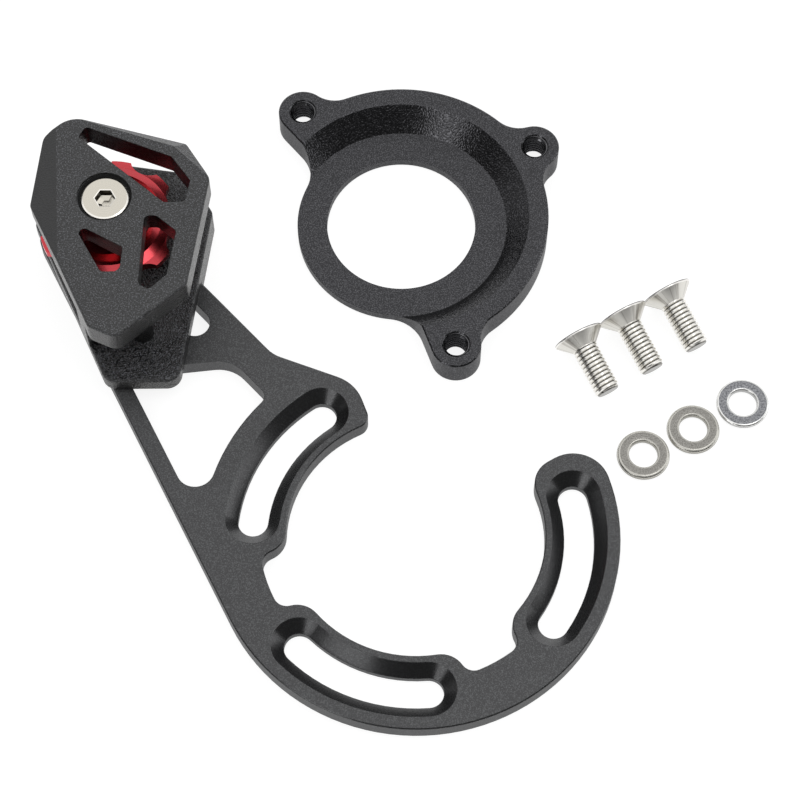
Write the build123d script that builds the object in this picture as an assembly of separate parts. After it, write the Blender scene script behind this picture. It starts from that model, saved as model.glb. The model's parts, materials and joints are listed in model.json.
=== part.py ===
from build123d import *
import os
from math import acos, asin, atan2, cos, degrees, radians, sin, sqrt

# Bicycle chain guide laid out flat. Millimetres, +Z up.
# The origin is the bottom-bracket axis where it meets the arm's back face.

# Arm: a hook round the bottom bracket with three countersunk arc slots
arm_thickness = 4.5
bolt_circle_radius = 36.5
slot_width = 6.7
countersink_width = 12.4
slot_middle_angle = 250.0
slot_spacing_angle = 100.0
slot_half_angle = 24.3
hook_outer_radius = 45.5
hook_inner_radius = 28.8
recess_radius = 34.7
pad_round_radius = 5.6
pad_lead = 2.9
recess_fillet = 3.0
hook_end_margin = 10.2
hook_end_outer_fillet = 8.2
hook_end_inner_fillet = 6.4
lobe_radius = 9.75
lobe_inner_fillet = 3.0
arm_edge_break = 0.3

# Arm: the upper part that carries the guide head
slide_angle = 132.5
head_reach = 57.15
head_angle = 133.66
strut_angle = 116.8
strut_width = 4.0
window_arc_margin = 2.0
window_rail_width = 8.0
window_height = 13.17
window_angle = 135.0
window_top_slope = 6.7
window_top_fillet = 8.0
window_tip_fillet = 2.4
window_foot_fillet = 4.3
straight_edge_offset = 8.0
shoulder_slope = -21.0
shoulder_fillet = 8.0
arm_end_reach = 15.0
arm_end_fillet = 7.0

# Adjusting slot, and the nut that slides in its stepped back
adjust_slot_width = 6.76
adjust_slot_inner = 29.6
adjust_slot_outer = 5.0
slide_in = 14.0
slide_out = 4.0
nut_length = 14.0
nut_width = 10.6
nut_flange_thickness = 2.3
nut_corner_radius = 1.5
nut_clearance = 0.2
nut_neck_radius = 3.2
nut_neck_gap = 0.15

# Guide head: stack heights along the bolt axis
slide_gap = 0.05
inner_plate_thickness = 3.9
chain_gap = 10.05
outer_plate_height = 6.5
outer_plate_skin = 2.8
outer_plate_wall = 3.0
rear_spacer_length = 1.75
front_spacer_length = 4.4
spacer_radius = 4.3
facet_drop = 2.4
bevel_drop = 2.95
inner_edge_round = 0.6
outer_edge_round = 0.5
lip_clearance = 0.15
lip_floor_gap = 0.5
lip_wall = 2.6
boss_radius = 8.4
standoff_post_radius = 2.4
standoff_tab_length = 4.8
standoff_tab_width = 2.2

# Corners of the two head plates about the bolt axis: x, y and corner radius
outer_left = (-17.1, -1.2, 1.5)
outer_shoulder = (-15.0, 16.2, 3.0)
outer_top = (-9.1, 21.45, 6.4)
outer_corner = (17.9, 15.7, 1.2)
outer_right = (23.9, 4.9, 2.5)
outer_low_right = (19.7, -22.6, 1.0)
outer_tip = (4.3, -36.1, 2.6)
outer_low_left = (-2.0, -33.2, 2.0)
crease_top = (-12.2, 19.5)
crease_foot = (-9.6, -17.0)
crease_corner = (15.4, 13.3)
inner_left = (-18.0, 2.0, 2.0)
inner_shoulder = (-15.6, 16.4, 3.0)
inner_top = (-9.5, 20.2, 5.0)
inner_corner = (17.2, 16.2, 2.0)
inner_right = (23.4, 5.5, 2.0)
inner_low_right = (17.15, -38.7, 3.4)
inner_low_left = (0.6, -38.9, 3.4)
standoff_post = (8.6, -26.6)
standoff_tab_place = 0.83

# Cut-outs of the outer plate about the bolt axis
long_cut = ((-5.3, 18.6), (14.9, 10.6), (19.5, 4.2), (18.4, -1.3), (13.6, -1.5), (-6.8, 15.8))
long_cut_fillet = 0.9
left_cut = ((-7.1, -6.5), (4.9, -13.2), (4.5, -18.3), (3.7, -19.4), (0.2, -19.5))
left_cut_fillet = 1.2
right_cut = ((9.4, -5.0), (12.1, -5.0), (16.8, -9.0), (15.1, -20.2), (11.2, -24.0), (8.7, -22.6))
right_cut_fillet = 1.2

# Head bolt
bolt_radius = 3.0
bolt_thread_clearance = 0.05
bolt_head_radius = 5.5
bolt_head_sink = 0.7
bolt_rim_height = 0.35
bolt_recess_radius = 6.25
bolt_floor_gap = 0.7
bolt_hole_clearance = 0.15
hex_across_flats = 4.0
hex_depth = 2.4

# Pulley
pulley_teeth = 9
chain_pitch = 12.7
roller_seat_radius = 4.3
pulley_tip_radius = 16.3
pulley_first_tooth_angle = 42.7
pulley_hub_radius = 9.9
pulley_hub_half_width = 3.0
pulley_web_half_width = 1.3
pulley_rim_inner_radius = 12.3
pulley_rim_half_width = 2.15
pulley_root_half_width = 1.3
pulley_tip_half_width = 0.85

# Bearing, 6 x 15 x 5
bearing_outer_radius = 7.5
bearing_width = 5.0
race_inner_outside_radius = 4.15
race_outer_inside_radius = 6.3
ball_radius = 1.2
ball_count = 7
ball_clearance = 0.06
cage_half_width = 1.6
cage_wall = 0.3
shield_thickness = 0.3
shield_clearance = 0.1
shield_inset = 0.15
press_clearance = 0.01

# Adapter ring
ring_shift = -3.17
ring_tuck = 0.0
ring_bore_radius = 17.6
ring_flange_thickness = 2.3
ring_height = 7.2
ring_flange_radius = 24.6
ring_cone_foot_radius = 24.9
ring_cone_top_radius = 30.2
ring_outer_radius = 34.7
ear_radius = 5.8
ear_circle_offset = 0.3
ear_first_angle = -70.0
ear_outer_fillet = 7.0
ear_flank_fillet = 9.0
ring_edge_break = 0.35
thread_radius = 3.0
thread_chamfer = 0.35

# Loose screws and washers
fastener_count = 3
screw_length = 15.0
screw_head_radius = 5.9
screw_rim_height = 0.4
screw_tip_chamfer = 0.6
screw_ring_gap = 16.83
screw_ring_angle = -37.95
screw_spacing_gap = 0.11
screw_direction = -62.3
washer_outer_radius = 6.05
washer_inner_radius = 3.25
washer_thickness = 1.6
washer_edge_break = 0.2
washer_hook_gap = 4.15
washer_hook_angle = 21.69
washer_spacing_gap = 1.21
row_angle = 28.85

# Heights and places worked out from the sizes above
arm_top = arm_thickness
inner_bottom = arm_top + slide_gap
inner_plate_top = inner_bottom + inner_plate_thickness
bearing_bottom = inner_plate_top + rear_spacer_length
pulley_middle = bearing_bottom + bearing_width / 2
bearing_top = bearing_bottom + bearing_width
boss_bottom = bearing_top + front_spacer_length
outer_plate_bottom = inner_plate_top + chain_gap
outer_plate_top = outer_plate_bottom + outer_plate_height
bolt_head_top = outer_plate_top - bolt_head_sink
land_height = arm_thickness - (countersink_width - slot_width) / 2
slot_angles = [slot_middle_angle + k * slot_spacing_angle for k in (-1, 0, 1)]
slide_axis = Vector(cos(radians(slide_angle)), sin(radians(slide_angle)))
slide_side = Vector(sin(radians(slide_angle)), -cos(radians(slide_angle)))
cut_over = 1.0


def polar(radius, angle):
    return Vector(radius * cos(radians(angle)), radius * sin(radians(angle)))


head_axis = polar(hook_outer_radius + head_reach, head_angle)
window_arc_radius = hook_outer_radius + window_arc_margin
ring_centre = Vector(ring_shift, hook_outer_radius + ring_outer_radius - ring_tuck)
ear_circle_radius = bolt_circle_radius + ear_circle_offset
screw_first = ring_centre + polar(ring_outer_radius + screw_ring_gap, screw_ring_angle)
screw_step = polar(2 * screw_head_radius + screw_spacing_gap, row_angle)
washer_first = polar(hook_outer_radius + washer_hook_gap + washer_outer_radius, washer_hook_angle)
washer_step = polar(2 * washer_outer_radius + washer_spacing_gap, row_angle)


def along(point, angle, distance):
    return point + polar(distance, angle)


def crossing(point_a, angle_a, point_b, angle_b):
    """Point where two lines meet, each given by a point and an angle."""
    direction_a = polar(1, angle_a)
    direction_b = polar(1, angle_b)
    gap = point_b - point_a
    turn = direction_a.X * direction_b.Y - direction_a.Y * direction_b.X
    reach = (gap.X * direction_b.Y - gap.Y * direction_b.X) / turn
    return point_a + direction_a * reach


def crossing_turn(radius, centre_radius, circle_radius):
    """Angle about the origin from a circle's centre to where it meets a circle round the origin."""
    share = (radius**2 + centre_radius**2 - circle_radius**2) / (2 * radius * centre_radius)
    return degrees(acos(share))


def polygon(*points):
    corners = [Vector(*p) if isinstance(p, tuple) else p for p in points]
    return make_face(Polyline(*corners, close=True))


def sector(inner, outer, start, end):
    sweep = end - start
    return make_face(
        [
            CenterArc((0, 0), outer, start, sweep),
            CenterArc((0, 0), inner, start, sweep),
            Line(polar(inner, start), polar(outer, start)),
            Line(polar(inner, end), polar(outer, end)),
        ]
    )


def rounded(sketch, *corners):
    """Fillets the corners of a flat shape, each given as a point near it and a radius."""
    for point, radius in corners:
        place = Vector(*point) if isinstance(point, tuple) else point
        vertex = sketch.vertices().sort_by_distance(place)[0]
        sketch = fillet(vertex, radius)
    return sketch


def corner_outline(*corners):
    """Flat shape from corners that each carry their own radius."""
    shape = polygon(*[corner[:2] for corner in corners])
    return rounded(shape, *[(corner[:2], corner[2]) for corner in corners])


def prism(sketch, bottom, top):
    return extrude(Pos(0, 0, bottom) * sketch, top - bottom)


def ring_solid(inner, outer, bottom, top):
    return prism(Circle(outer) - Circle(inner), bottom, top)


def on_head(solid):
    return Pos(*head_axis) * solid


def hook_outline():
    """Hook with a pad round each slot and a shallow recess between pads."""
    first = slot_angles[0] - slot_half_angle
    last = slot_angles[-1] + slot_half_angle
    lobe_turn = asin(lobe_radius / bolt_circle_radius)
    lobe_end = first - degrees(lobe_turn)
    hook_end = last + degrees(hook_end_margin / bolt_circle_radius)
    shape = sector(recess_radius, hook_outer_radius, first, hook_end)
    for angle in slot_angles:
        start = angle - slot_half_angle
        end = angle + slot_half_angle
        if angle == slot_angles[-1]:
            end = hook_end
        shape += sector(hook_inner_radius, hook_outer_radius, start, end)
    shape += sector(hook_inner_radius, bolt_circle_radius * cos(lobe_turn), lobe_end, slot_angles[0])
    shape += Pos(*polar(bolt_circle_radius, first)) * Circle(lobe_radius)
    pad_centre_radius = hook_inner_radius + pad_round_radius
    pad_turn = degrees(pad_lead / pad_centre_radius)
    recess_turn = crossing_turn(recess_radius, pad_centre_radius, pad_round_radius)
    corners = []
    for angle in slot_angles:
        for side in (-1, 1):
            inner_end = (angle, side) not in ((slot_angles[0], -1), (slot_angles[-1], 1))
            if inner_end:
                middle = angle + side * (slot_half_angle + pad_turn)
                shape += sector(hook_inner_radius, recess_radius, min(angle, middle), max(angle, middle))
                shape += Pos(*polar(pad_centre_radius, middle)) * Circle(pad_round_radius)
                corners.append((polar(recess_radius, middle + side * recess_turn), recess_fillet))
    band = hook_outer_radius - hook_inner_radius
    end_room = min(1, 0.95 * band / (hook_end_outer_fillet + hook_end_inner_fillet))
    return rounded(
        shape - Circle(hook_inner_radius),
        *corners,
        (polar(hook_outer_radius, hook_end), hook_end_outer_fillet * end_room),
        (polar(hook_inner_radius, hook_end), hook_end_inner_fillet * end_room),
        (polar(hook_inner_radius, lobe_end), lobe_inner_fillet),
    )


def strut_line():
    """Point and angle of the strut's outer edge, tangent to the hook."""
    return polar(hook_outer_radius, strut_angle + 90), strut_angle


def upper_outline():
    """Web between the strut's outer edge and the straight edge beside the adjusting slot."""
    foot, angle = strut_line()
    end_middle = head_axis + slide_axis * arm_end_reach
    edge_point = head_axis + slide_side * straight_edge_offset
    end_left = crossing(foot, angle, end_middle, slide_angle + 90)
    end_right = crossing(edge_point, slide_angle, end_middle, slide_angle + 90)
    lobe_angle = slot_angles[0] - slot_half_angle
    lobe_centre = polar(bolt_circle_radius, lobe_angle)
    lobe_top = along(lobe_centre, shoulder_slope + 90, lobe_radius)
    shoulder = crossing(edge_point, slide_angle, lobe_top, shoulder_slope)
    web = polygon(
        foot,
        end_left,
        end_right,
        shoulder,
        lobe_top,
        lobe_centre,
        polar(bolt_circle_radius, slot_angles[0]),
        polar(bolt_circle_radius, slot_angles[0] + slot_half_angle),
    )
    return web, shoulder, end_left, end_right


def window_outline():
    """Opening between strut, hook and rail."""
    foot, angle = strut_line()
    inner_edge = along(foot, angle - 90, strut_width)
    rail_edge = head_axis + slide_side * (straight_edge_offset - window_rail_width)
    top_point = polar(window_arc_radius + window_height, window_angle)
    top_left = crossing(inner_edge, angle, top_point, window_top_slope)
    top_right = crossing(rail_edge, slide_angle, top_point, window_top_slope)
    low_right = crossing(rail_edge, slide_angle, Vector(0, 0), slot_angles[0])
    shape = polygon(top_left, top_right, low_right, inner_edge) - Circle(window_arc_radius)
    shape = shape.faces().sort_by(SortBy.AREA)[-1]
    tip = polar(window_arc_radius, window_angle)
    foot_corner = polar(window_arc_radius, slot_angles[0] + slot_half_angle)
    return rounded(
        Sketch() + shape,
        (top_left, window_tip_fillet),
        (top_right, window_top_fillet),
        (tip, window_tip_fillet),
        (foot_corner, window_foot_fillet),
    )


def countersunk_slot(angle):
    """Cutter for one arc slot with a bevelled mouth."""
    path = CenterArc((0, 0), bolt_circle_radius, angle - slot_half_angle, 2 * slot_half_angle)
    through = prism(SlotArc(path, slot_width), -cut_over, arm_top + cut_over)
    mouth = prism(SlotArc(path, countersink_width), land_height, arm_top + cut_over)
    bevel = mouth.faces().sort_by(Axis.Z)[0].edges()
    return through + chamfer(bevel, arm_top - land_height)


def slide_slot(width, inner, outer):
    """Straight slot along the slide axis, its end centres given from the bolt axis."""
    middle = head_axis + slide_axis * ((outer - inner) / 2)
    shape = SlotCenterToCenter(inner + outer, width)
    return Pos(middle.X, middle.Y) * Rot(0, 0, slide_angle) * shape


def slide_pocket(length_in, length_out, width, corner):
    middle = head_axis + slide_axis * ((length_out - length_in) / 2)
    shape = RectangleRounded(length_in + length_out, width, corner)
    return Pos(middle.X, middle.Y) * Rot(0, 0, slide_angle) * shape


def make_arm():
    web, shoulder, end_left, end_right = upper_outline()
    outline = hook_outline() + web
    outline = rounded(
        outline,
        (shoulder, shoulder_fillet),
        (end_left, arm_end_fillet),
        (end_right, arm_end_fillet),
    )
    outline -= window_outline()
    outline -= slide_slot(adjust_slot_width, adjust_slot_inner, adjust_slot_outer)
    arm = prism(outline, 0, arm_top)
    arm = chamfer(arm.faces().sort_by(Axis.Z)[-1].outer_wire().edges(), arm_edge_break)
    for angle in slot_angles:
        arm -= countersunk_slot(angle)
    pocket = slide_pocket(
        slide_in + nut_length / 2 + nut_clearance,
        slide_out + nut_length / 2 + nut_clearance,
        nut_width + 2 * nut_clearance,
        nut_corner_radius,
    )
    return arm - prism(pocket, -cut_over, nut_flange_thickness + 2 * nut_clearance)


def make_slide_nut():
    flange = slide_pocket(nut_length / 2, nut_length / 2, nut_width, nut_corner_radius)
    flange_top = nut_clearance + nut_flange_thickness
    nut = prism(flange, nut_clearance, flange_top)
    nut += on_head(prism(Circle(nut_neck_radius), flange_top, arm_top - nut_neck_gap))
    return nut - on_head(prism(Circle(bolt_radius), -cut_over, arm_top))


def inner_outline():
    return corner_outline(
        inner_left, inner_shoulder, inner_top, inner_corner, inner_right, inner_low_right, inner_low_left
    )


def lip_region(offset):
    """Half of the head beyond the arm's straight edge, about the bolt axis."""
    reach = 3 * straight_edge_offset + outer_plate_height
    edge = slide_side * (straight_edge_offset + offset)
    far = slide_side * 2 * reach
    return polygon(
        edge - slide_axis * 2 * reach, edge + slide_axis * 2 * reach, edge + slide_axis * 2 * reach + far,
        edge - slide_axis * 2 * reach + far,
    )


def make_inner_plate():
    """Flat plate on the arm, with a hollow lip that runs down beside the arm's straight edge."""
    outline = inner_outline()
    plate = prism(outline, inner_bottom, inner_plate_top)
    plate = fillet(plate.faces().sort_by(Axis.Z)[-1].edges(), inner_edge_round)
    lip = outline & lip_region(lip_clearance)
    hollow = offset(lip, -lip_wall)
    plate += prism(lip - hollow, lip_floor_gap, inner_bottom)
    hole = Circle(bolt_radius + bolt_hole_clearance)
    return on_head(plate - prism(hole, -cut_over, inner_plate_top + cut_over))


def outer_outline():
    return corner_outline(
        outer_left,
        outer_shoulder,
        outer_top,
        outer_corner,
        outer_right,
        outer_low_right,
        outer_tip,
        outer_low_left,
    )


def facet(point_a, point_b, low_point, drop):
    """Plane through an edge of the top face that falls by drop at a point outside it."""
    a = Vector(*point_a[:2], outer_plate_top)
    b = Vector(*point_b[:2], outer_plate_top)
    low = Vector(*low_point[:2], outer_plate_top - drop)
    normal = (b - a).cross(low - a).normalized()
    if normal.Z < 0:
        normal = normal * -1
    return Plane(origin=a, x_dir=(b - a).normalized(), z_dir=normal)


def cut_outline(points, radius):
    shape = polygon(*points)
    return fillet(shape.vertices(), radius)


def standoff_tab(outline):
    """Strip of the wall on the left that reaches down to the inner plate."""
    start = Vector(*outer_left[:2])
    run = Vector(*outer_low_left[:2]) - start
    middle = start + run * standoff_tab_place
    strip = Rectangle(standoff_tab_length, 2 * standoff_tab_width)
    return (Pos(*middle) * Rot(0, 0, degrees(atan2(run.Y, run.X))) * strip) & outline


def make_outer_plate():
    """Shallow tray with bevelled edges, cut-outs, a bolt boss and two stand-off legs."""
    outline = outer_outline()
    skin_bottom = outer_plate_top - outer_plate_skin
    plate = prism(outline, outer_plate_bottom, outer_plate_top)
    plate = fillet(plate.edges().group_by(Axis.Z)[-1], outer_edge_round)
    plate = split(plate, bisect_by=facet(crease_top, crease_foot, outer_left, facet_drop), keep=Keep.BOTTOM)
    for start, end in ((outer_top, crease_corner), (crease_corner, outer_right)):
        plate = split(plate, bisect_by=facet(start, end, outer_corner, bevel_drop), keep=Keep.BOTTOM)
    spine = [(Vector(*a) + Vector(*b)) / 2 for a, b in zip(long_cut[:3], long_cut[:2:-1])]
    rim = polygon(*spine, outer_right[:2], outer_corner[:2], outer_top[:2])
    pocket = offset(outline, -outer_plate_wall) - rim
    plate -= prism(pocket, outer_plate_bottom - cut_over, skin_bottom)
    plate += prism(Circle(boss_radius), boss_bottom, skin_bottom)
    cuts = ((long_cut, long_cut_fillet), (left_cut, left_cut_fillet), (right_cut, right_cut_fillet))
    for points, radius in cuts:
        plate -= prism(cut_outline(points, radius), outer_plate_bottom - cut_over, outer_plate_top + cut_over)
    legs = standoff_tab(outline) + Pos(*standoff_post) * Circle(standoff_post_radius)
    plate += prism(legs, inner_plate_top, skin_bottom)
    plate -= prism(Circle(bolt_radius + bolt_hole_clearance), boss_bottom - cut_over, outer_plate_top)
    plate -= prism(Circle(bolt_recess_radius), bolt_head_top, outer_plate_top + cut_over)
    seat_top = bolt_head_top - bolt_rim_height
    seat_depth = bolt_head_radius - bolt_radius
    seat = Cone(bolt_radius + bolt_hole_clearance, bolt_head_radius + bolt_hole_clearance, seat_depth)
    plate -= Pos(0, 0, seat_top - seat_depth / 2) * seat
    plate -= prism(Circle(bolt_head_radius + bolt_hole_clearance), seat_top, bolt_head_top)
    return on_head(plate)


def countersunk_body(length, head_radius, shank_radius, rim_height, tip_chamfer):
    """Countersunk socket screw standing on its tip, its head's flat top at z = 0."""
    cone_foot = -rim_height - (head_radius - shank_radius)
    profile = Polyline(
        (0, 0),
        (head_radius, 0),
        (head_radius, -rim_height),
        (shank_radius, cone_foot),
        (shank_radius, -length + tip_chamfer),
        (shank_radius - tip_chamfer, -length),
        (0, -length),
        close=True,
    )
    body = revolve(Plane.XZ * make_face(profile), Axis.Z)
    socket = RegularPolygon(hex_across_flats / 2, 6, major_radius=False)
    return body - prism(socket, -hex_depth, cut_over)


def make_head_bolt():
    length = bolt_head_top - bolt_floor_gap
    shank = bolt_radius - bolt_thread_clearance
    bolt = countersunk_body(length, bolt_head_radius, shank, bolt_rim_height, screw_tip_chamfer)
    return on_head(Pos(0, 0, bolt_head_top) * bolt)


def make_spacer(bottom, length):
    return on_head(ring_solid(bolt_radius, spacer_radius, bottom, bottom + length))


def make_pulley():
    """Hub, grooved web, bevelled rim and short teeth seated for chain rollers."""
    pitch_radius = chain_pitch / (2 * sin(radians(180 / pulley_teeth)))
    root_radius = pitch_radius - roller_seat_radius
    half_profile = [
        (bearing_outer_radius + press_clearance, 0),
        (bearing_outer_radius + press_clearance, pulley_hub_half_width),
        (pulley_hub_radius, pulley_hub_half_width),
        (pulley_hub_radius, pulley_web_half_width),
        (pulley_rim_inner_radius, pulley_web_half_width),
        (pulley_rim_inner_radius, pulley_rim_half_width),
        (root_radius, pulley_root_half_width),
        (pulley_tip_radius, pulley_tip_half_width),
        (pulley_tip_radius, 0),
    ]
    lower_profile = [(r, -z) for r, z in reversed(half_profile[1:-1])]
    turned = revolve(Plane.XZ * polygon(*half_profile, *lower_profile), Axis.Z)
    gap_angle = pulley_first_tooth_angle + 180 / pulley_teeth
    seats = Sketch()
    for k in range(pulley_teeth):
        seats += Pos(*polar(pitch_radius, gap_angle + k * 360 / pulley_teeth)) * Circle(roller_seat_radius)
    reach = pulley_hub_half_width + cut_over
    pulley = turned - prism(seats, -reach, reach)
    return on_head(Pos(0, 0, pulley_middle) * pulley)


def ball_pitch_radius():
    return (race_inner_outside_radius + race_outer_inside_radius) / 2


def make_race(inner, outer):
    """Bearing race with the ball groove cut into it."""
    race = ring_solid(inner, outer, -bearing_width / 2, bearing_width / 2)
    return on_head(Pos(0, 0, pulley_middle) * (race - Torus(ball_pitch_radius(), ball_radius + ball_clearance)))


def ball_places():
    return [polar(ball_pitch_radius(), k * 360 / ball_count) for k in range(ball_count)]


def make_balls():
    balls = [Pos(p.X, p.Y, pulley_middle) * Sphere(ball_radius) for p in ball_places()]
    return Compound(children=[on_head(ball) for ball in balls])


def make_cage():
    """Thin pierced band that keeps the balls apart."""
    middle = ball_pitch_radius()
    cage = ring_solid(middle - cage_wall, middle + cage_wall, -cage_half_width, cage_half_width)
    for k in range(ball_count):
        pocket = Cylinder(ball_radius + ball_clearance, 4 * cage_wall)
        cage -= Rot(0, 0, k * 360 / ball_count) * Pos(middle, 0, 0) * Rot(0, 90, 0) * pocket
    return on_head(Pos(0, 0, pulley_middle) * cage)


def make_shield(side):
    inner = race_inner_outside_radius + shield_clearance
    outer = race_outer_inside_radius
    middle = pulley_middle + side * (bearing_width / 2 - shield_inset - shield_thickness / 2)
    return on_head(ring_solid(inner, outer, middle - shield_thickness / 2, middle + shield_thickness / 2))


def ear_angles():
    return [ear_first_angle + k * slot_spacing_angle for k in range(fastener_count)]


def ring_outline():
    """Flange circle, outer crescent from the first ear to the last, and the ears."""
    first = ear_angles()[0]
    last = ear_angles()[-1]
    shape = Circle(ring_flange_radius) + sector(ring_bore_radius, ring_outer_radius, first, last)
    for angle in ear_angles():
        centre = polar(ear_circle_radius, angle)
        shape += Pos(*centre) * Circle(ear_radius)
    for angle, side in ((first, -1), (last, 1)):
        strip = Pos(ear_circle_radius / 2, side * ear_radius / 2) * Rectangle(ear_circle_radius, ear_radius)
        shape += Rot(0, 0, angle) * strip
    ear_turn = crossing_turn(ring_outer_radius, ear_circle_radius, ear_radius)
    flank_reach = sqrt(ring_flange_radius**2 - ear_radius**2)
    corners = []
    for angle in ear_angles():
        for side in (-1, 1):
            free_side = (angle == first and side < 0) or (angle == last and side > 0)
            if free_side:
                place = polar(flank_reach, angle) + polar(ear_radius, angle + 90 * side)
                corners.append((place, ear_flank_fillet))
            else:
                corners.append((polar(ring_outer_radius, angle + side * ear_turn), ear_outer_fillet))
    return rounded(shape, *corners)


def make_adapter_ring():
    """Flat flange with a raised crescent that carries the ears, dished by a cone."""
    ring = prism(ring_outline(), 0, ring_height)
    dish = Polyline(
        (0, ring_flange_thickness),
        (ring_cone_foot_radius, ring_flange_thickness),
        (ring_cone_top_radius, ring_height),
        (ring_cone_top_radius, ring_height + cut_over),
        (0, ring_height + cut_over),
        close=True,
    )
    ring = chamfer(ring.faces().sort_by(Axis.Z)[-1].edges(), ring_edge_break)
    ring -= revolve(Plane.XZ * make_face(dish), Axis.Z)
    ring -= prism(Circle(ring_bore_radius), -cut_over, ring_height)
    for angle in ear_angles():
        centre = polar(ear_circle_radius, angle)
        hole = prism(Circle(thread_radius), -cut_over, ring_height + cut_over)
        mouth = Cone(thread_radius, thread_radius + thread_chamfer, thread_chamfer)
        hole += Pos(0, 0, ring_height - thread_chamfer / 2) * mouth
        ring -= Pos(centre.X, centre.Y, 0) * hole
    return Pos(*ring_centre) * ring


def make_screw(index):
    """Screw at rest on its head's rim and its tip."""
    rise = screw_head_radius - thread_radius
    run = screw_length - screw_tip_chamfer - screw_rim_height
    tilt = degrees(atan2(rise, run))
    lift = screw_head_radius * cos(radians(tilt)) + screw_rim_height * sin(radians(tilt))
    screw = countersunk_body(screw_length, screw_head_radius, thread_radius, screw_rim_height, screw_tip_chamfer)
    lying = Rot(0, 90 + tilt, 0) * Rot(180, 0, 0) * screw
    place = screw_first + screw_step * index
    return Pos(place.X, place.Y, lift) * Rot(0, 0, screw_direction) * lying


def make_washer(index):
    washer = ring_solid(washer_inner_radius, washer_outer_radius, 0, washer_thickness)
    rim = washer.faces().sort_by(Axis.Z)[-1].outer_wire().edges()
    return Pos(*(washer_first + washer_step * index)) * chamfer(rim, washer_edge_break)


def build():
    nodes = {
        "arm_plate": make_arm(),
        "slide_nut": make_slide_nut(),
        "inner_plate": make_inner_plate(),
        "outer_plate": make_outer_plate(),
        "head_bolt": make_head_bolt(),
        "rear_spacer": make_spacer(inner_plate_top, rear_spacer_length),
        "front_spacer": make_spacer(bearing_top, front_spacer_length),
        "pulley": make_pulley(),
        "bearing_inner_race": make_race(bolt_radius, race_inner_outside_radius),
        "bearing_outer_race": make_race(race_outer_inside_radius, bearing_outer_radius),
        "bearing_balls": make_balls(),
        "bearing_cage": make_cage(),
        "bearing_front_shield": make_shield(1),
        "bearing_rear_shield": make_shield(-1),
        "adapter_ring": make_adapter_ring(),
    }
    for k in range(fastener_count):
        nodes[f"mounting_screw_{k + 1}"] = make_screw(k)
        nodes[f"mounting_washer_{k + 1}"] = make_washer(k)
    return nodes


os.makedirs("parts", exist_ok=True)
for name, shape in build().items():
    export_step(shape, f"parts/{name}.step")
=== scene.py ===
import json
import math

import bmesh
import bpy
from mathutils import Matrix, Vector


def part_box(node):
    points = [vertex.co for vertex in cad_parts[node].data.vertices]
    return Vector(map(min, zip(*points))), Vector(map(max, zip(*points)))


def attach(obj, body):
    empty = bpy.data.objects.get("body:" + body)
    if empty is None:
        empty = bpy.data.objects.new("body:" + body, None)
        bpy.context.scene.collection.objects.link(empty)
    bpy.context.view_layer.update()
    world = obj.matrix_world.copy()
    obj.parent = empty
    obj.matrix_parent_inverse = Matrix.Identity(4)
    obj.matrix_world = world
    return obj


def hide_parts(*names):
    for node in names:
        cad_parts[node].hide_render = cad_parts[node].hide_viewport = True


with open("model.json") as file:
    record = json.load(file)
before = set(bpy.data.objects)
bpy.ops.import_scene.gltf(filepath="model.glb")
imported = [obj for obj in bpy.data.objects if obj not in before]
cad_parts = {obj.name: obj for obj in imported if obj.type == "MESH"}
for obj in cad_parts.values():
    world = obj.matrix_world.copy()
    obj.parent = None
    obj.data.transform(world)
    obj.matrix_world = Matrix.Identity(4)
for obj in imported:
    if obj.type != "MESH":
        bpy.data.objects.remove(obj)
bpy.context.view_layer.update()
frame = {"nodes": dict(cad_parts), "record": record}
nodes = frame["nodes"]
mounts = {m["name"]: m for m in frame["record"]["mounts"]}
mm = 0.001
edgeSamples = 6      # rays that feel for a near edge, enough for a clean soft line

bpy.context.scene.view_settings.view_transform = "Standard"


# sRGB hex to the linear values that shaders take
def linearColour(hexText):
    channels = [int(hexText[i:i + 2], 16) / 255 for i in (1, 3, 5)]
    return [c / 12.92 if c <= 0.04045 else ((c + 0.055) / 1.055) ** 2.4 for c in channels] + [1.0]


# a node with its settings, its socket values and its links; sockets go by name,
# or by number where a node repeats a name
def addNode(tree, kind, settings, sockets):
    node = tree.nodes.new(kind)
    for name, value in settings.items():
        setattr(node, name, value)
    for name, value in sockets.items():
        if isinstance(value, bpy.types.NodeSocket):
            tree.links.new(value, node.inputs[name])
        else:
            node.inputs[name].default_value = value
    return node


def newMaterial(name):
    material = bpy.data.materials.new(name)
    material.use_nodes = True
    material.node_tree.nodes.clear()
    return material, material.node_tree


def dressNode(nodeName, material):
    for slot in nodes[nodeName].material_slots:
        slot.material = material


# Bead-blasted aluminium, dyed black and sealed: a dark satin metal whose tiny pits
# glitter, with smoother faces where the cutter broke the edges afterwards
armFinish = {
    "colour": "#4e4e4f",
    "fleckColour": "#646566",
    "fleckRange": (0.42, 0.78),    # noise levels over which the fleck comes in
    "edgeTint": 0.88,              # dyed oxide stays darker than bare metal at a glancing angle
    "roughness": 0.46,
    "gritMm": 0.22,                # blasting grit is finer, drawn coarser so that it shows
    "gritDepthMm": 0.022,
    "cutSlope": 0.707,             # cut faces lie at 45 degrees
    "cutSpread": 0.12,
    "cutRoughness": 0.24,
    "cutGritMm": 0.22,
    "cutGrit": 0.24,               # share of the grit's depth left on cut faces
    "edgeMm": 0.3,                 # edges tumbled soft, which catch a thin light
}
# the ring's 45 degree faces are its cones, whose grit stands out coarser than on its flats
ringFinish = dict(
    armFinish,
    colour="#3e3e40",
    fleckColour="#646467",
    edgeTint=0.9,
    gritMm=0.25,
    gritDepthMm=0.035,
    cutRoughness=0.16,
    cutGritMm=0.36,
    cutGrit=1.6,
)
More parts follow.
